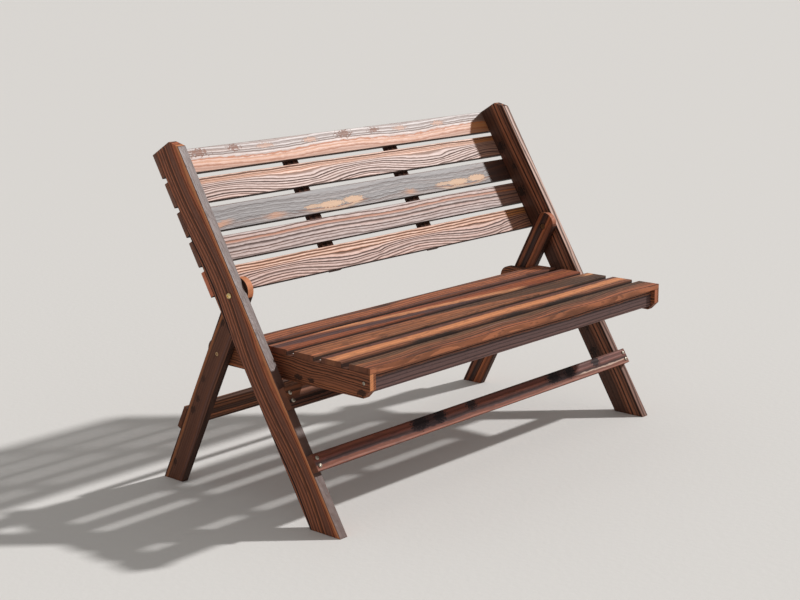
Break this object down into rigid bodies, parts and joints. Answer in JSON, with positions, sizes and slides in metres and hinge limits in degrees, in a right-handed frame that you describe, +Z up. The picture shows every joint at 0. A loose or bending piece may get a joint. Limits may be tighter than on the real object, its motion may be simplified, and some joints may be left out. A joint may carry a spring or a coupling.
{
  "type": "folding garden bench",
  "caption": "Folding slatted wooden bench with a leaning slatted back and rear legs that cross the uprights and turn on bolts.",
  "frame": {"origin": "on the floor, in the middle of the bench's length and of its depth in use", "axes": "+X along the bench to the right, seen from the front; +Y to the rear, where the back leans; +Z up"},
  "size_m": [1.209, 0.6622, 0.8153],
  "materials": {
    "dark_wood": "oiled, heat-treated softwood, dark brown with straight grain",
    "slat_wood": "oiled, heat-treated softwood, brown with orange and grey grain bands",
    "brass": "pale yellow passivated bolts, satin",
    "zinc": "zinc-plated screws and washers, satin"
  },
  "bodies": {
    "frame": {"back_slat_1": "slat_wood", "back_slat_2": "slat_wood", "back_slat_3": "slat_wood", "back_slat_4": "slat_wood", "back_slat_5": "slat_wood", "left_back_batten": "dark_wood", "left_back_slat_screw_1": "zinc", "left_back_slat_screw_2": "zinc", "left_back_slat_screw_3": "zinc", "left_back_slat_screw_4": "zinc", "left_back_slat_screw_5": "zinc", "left_frame_bolt": "brass", "left_frame_nut": "brass", "left_frame_washer": "zinc", "left_lower_stretcher_screw_1": "zinc", "left_lower_stretcher_screw_2": "zinc", "left_upper_stretcher_screw_1": "zinc", "left_upper_stretcher_screw_2": "zinc", "left_upright": "dark_wood", "lower_front_stretcher": "dark_wood", "right_back_batten": "dark_wood", "right_back_slat_screw_1": "zinc", "right_back_slat_screw_2": "zinc", "right_back_slat_screw_3": "zinc", "right_back_slat_screw_4": "zinc", "right_back_slat_screw_5": "zinc", "right_frame_bolt": "brass", "right_frame_nut": "brass", "right_frame_washer": "zinc", "right_lower_stretcher_screw_1": "zinc", "right_lower_stretcher_screw_2": "zinc", "right_upper_stretcher_screw_1": "zinc", "right_upper_stretcher_screw_2": "zinc", "right_upright": "dark_wood", "upper_front_stretcher": "dark_wood"},
    "legs": {"left_rear_leg": "dark_wood", "left_rear_stretcher_screw_1": "zinc", "left_rear_stretcher_screw_2": "zinc", "left_seat_bolt": "brass", "left_seat_nut": "zinc", "left_seat_washer": "zinc", "rear_stretcher": "dark_wood", "right_rear_leg": "dark_wood", "right_rear_stretcher_screw_1": "zinc", "right_rear_stretcher_screw_2": "zinc", "right_seat_bolt": "brass", "right_seat_nut": "zinc", "right_seat_washer": "zinc"},
    "seat": {"front_apron": "dark_wood", "left_apron_screw": "zinc", "left_seat_batten": "dark_wood", "left_seat_rail": "dark_wood", "right_apron_screw": "zinc", "right_seat_batten": "dark_wood", "right_seat_rail": "dark_wood", "seat_slat_1": "slat_wood", "seat_slat_2": "slat_wood", "seat_slat_3": "slat_wood", "seat_slat_4": "slat_wood", "seat_slat_5": "slat_wood"}
  },
  "joints": [
    {"name": "rear_leg_fold", "type": "hinge", "parent": "frame", "child": "legs", "pos_m": [0, 0.04931, 0.48805], "axis": [-1, 0, 0], "range_deg": [0, 58]},
    {"name": "seat_fold", "type": "hinge", "parent": "legs", "child": "seat", "pos_m": [0, 0.12591, 0.3377], "axis": [-1, 0, 0], "range_deg": [0, 63]}
  ]
}
